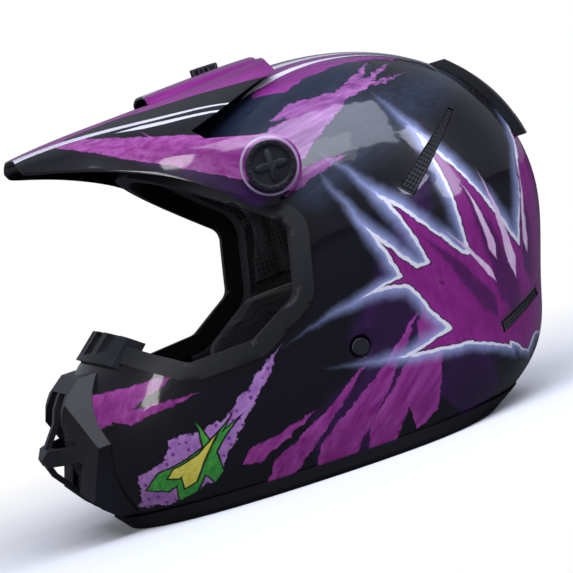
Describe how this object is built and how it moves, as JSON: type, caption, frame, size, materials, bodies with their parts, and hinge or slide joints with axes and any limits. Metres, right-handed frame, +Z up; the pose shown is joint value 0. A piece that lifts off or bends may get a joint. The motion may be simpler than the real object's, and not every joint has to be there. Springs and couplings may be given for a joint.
{
  "type": "motocross helmet",
  "caption": "Youth full-face off-road helmet with a tilting peak, vented chin bar, removable pads and a double-ring chin strap.",
  "frame": {"origin": "centre of the bounding box in X and Y, at the level of the lower rim that the helmet stands on", "axes": "+X runs from the chin to the back of the head, -Y is the wearer's left, +Z is up from the rim"},
  "size_m": [0.338, 0.2392, 0.2472],
  "materials": {
    "shell_paint": "clear-coated paint",
    "visor_paint": "clear-coated paint",
    "satin_plastic": "satin",
    "trim_rubber": "satin",
    "mesh_metal": "satin",
    "foam_grey": "beaded foam",
    "liner_cloth": "brushed knit",
    "strap_webbing": "woven",
    "ring_steel": "plated",
    "insert_brass": "knurled"
  },
  "bodies": {
    "helmet": {"outer_shell": "shell_paint", "base_trim": "trim_rubber", "eyeport_trim": "trim_rubber", "nose_guard": "satin_plastic", "mouth_vent_cover": "satin_plastic", "mouth_vent_mesh": "mesh_metal", "side_vent_left": "mesh_metal", "side_vent_right": "mesh_metal", "crown_vent_left": "mesh_metal", "crown_vent_right": "mesh_metal", "low_vent_left": "mesh_metal", "low_vent_right": "mesh_metal", "rear_spoiler": "satin_plastic", "eps_liner": "foam_grey", "chin_foam": "foam_grey", "crown_liner": "liner_cloth", "neck_roll": "liner_cloth", "cheek_pad_left": "liner_cloth", "cheek_pad_right": "liner_cloth", "pivot_washer_left": "satin_plastic", "pivot_washer_right": "satin_plastic", "visor_insert_left": "insert_brass", "visor_insert_right": "insert_brass", "crown_insert": "insert_brass", "strap_rivet_left": "satin_plastic", "strap_rivet_right": "satin_plastic", "rivet_bush_left": "satin_plastic", "rivet_bush_right": "satin_plastic"},
    "visor": {"visor": "visor_paint", "visor_scoop": "visor_paint"},
    "knob_left": {"visor_knob_left": "satin_plastic"},
    "knob_right": {"visor_knob_right": "satin_plastic"},
    "thumbscrew": {"crown_thumbscrew": "satin_plastic"},
    "chin_strap": {"chin_strap_short": "strap_webbing", "chin_strap_long": "strap_webbing", "anchor_plate_left": "ring_steel", "anchor_plate_right": "ring_steel", "snap_cap": "satin_plastic", "snap_socket": "satin_plastic"},
    "ring_upper": {"d_ring_upper": "ring_steel"},
    "ring_lower": {"d_ring_lower": "ring_steel"}
  },
  "joints": [
    {"name": "visor_tilt", "type": "hinge", "parent": "helmet", "child": "visor", "pos_m": [-0.006, 0, 0.181], "axis": [0, 1, 0], "range_deg": [-4, 1]},
    {"name": "knob_left_turn", "type": "hinge", "parent": "helmet", "child": "knob_left", "pos_m": [-0.006, -0.112, 0.181], "axis": [0, 1, 0], "continuous": true},
    {"name": "knob_right_turn", "type": "hinge", "parent": "helmet", "child": "knob_right", "pos_m": [-0.006, 0.112, 0.181], "axis": [0, 1, 0], "continuous": true},
    {"name": "thumbscrew_turn", "type": "hinge", "parent": "helmet", "child": "thumbscrew", "pos_m": [-0.003, 0, 0.243], "axis": [0, 0, 1], "continuous": true},
    {"name": "strap_swing", "type": "hinge", "parent": "helmet", "child": "chin_strap", "pos_m": [0.014, 0, 0.067], "axis": [0, 1, 0], "range_deg": [-10, 10]},
    {"name": "ring_upper_swing", "type": "hinge", "parent": "chin_strap", "child": "ring_upper", "pos_m": [0.014, -0.0475, 0.0122], "axis": [1, 0, 0], "range_deg": [0, 20]},
    {"name": "ring_lower_swing", "type": "hinge", "parent": "chin_strap", "child": "ring_lower", "pos_m": [0.014, -0.0515, 0.0086], "axis": [1, 0, 0], "range_deg": [0, 3]}
  ]
}
